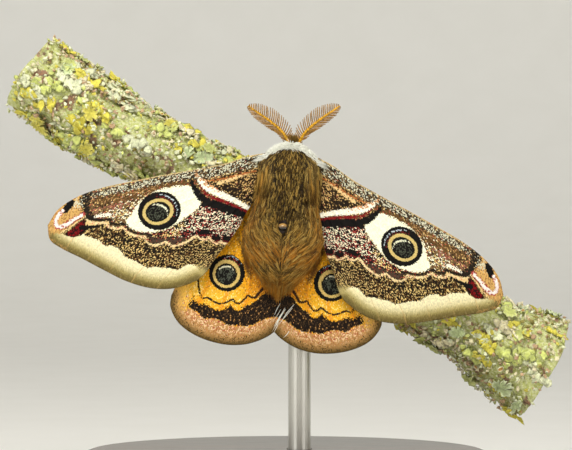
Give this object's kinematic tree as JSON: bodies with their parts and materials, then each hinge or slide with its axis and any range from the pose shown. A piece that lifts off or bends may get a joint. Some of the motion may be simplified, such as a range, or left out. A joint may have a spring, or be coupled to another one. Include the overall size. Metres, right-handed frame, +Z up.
{
  "type": "emperor moth",
  "caption": "Male emperor moth with spread, eye-spotted wings, clinging to a cut length of lichened branch on a round display stand.",
  "frame": {"origin": "centre of the stand base's flat underside, which rests on the floor", "axes": "+Z up; +X to the right as seen facing the moth's back, along the branch; +Y from the moth's back towards its belly and the branch"},
  "size_m": [0.0759, 0.054, 0.0603],
  "materials": {
    "fur": "dense brown and golden hair, pale at the collar",
    "forewing": "scales, brown, grey and cream, with an eyespot",
    "hindwing": "scales, orange, with an eyespot and dark bands",
    "antenna": "brown comb on a golden shaft",
    "eye": "black, glossy",
    "leg": "brown hair",
    "bark": "grey-brown bark under pale and yellow-green lichen",
    "stand": "satin black",
    "rod": "brushed steel"
  },
  "bodies": {
    "root": {"head": "fur", "eye_left": "eye", "eye_right": "eye", "antenna_left": "antenna", "antenna_right": "antenna", "thorax": "fur", "abdomen": "fur", "forewing_left": "forewing", "forewing_right": "forewing", "hindwing_left": "hindwing", "hindwing_right": "hindwing", "leg_left_front": "leg", "leg_left_mid": "leg", "leg_left_hind": "leg", "leg_right_front": "leg", "leg_right_mid": "leg", "leg_right_hind": "leg", "branch": "bark", "stand_base": "stand", "stand_rod": "rod"}
  },
  "joints": []
}
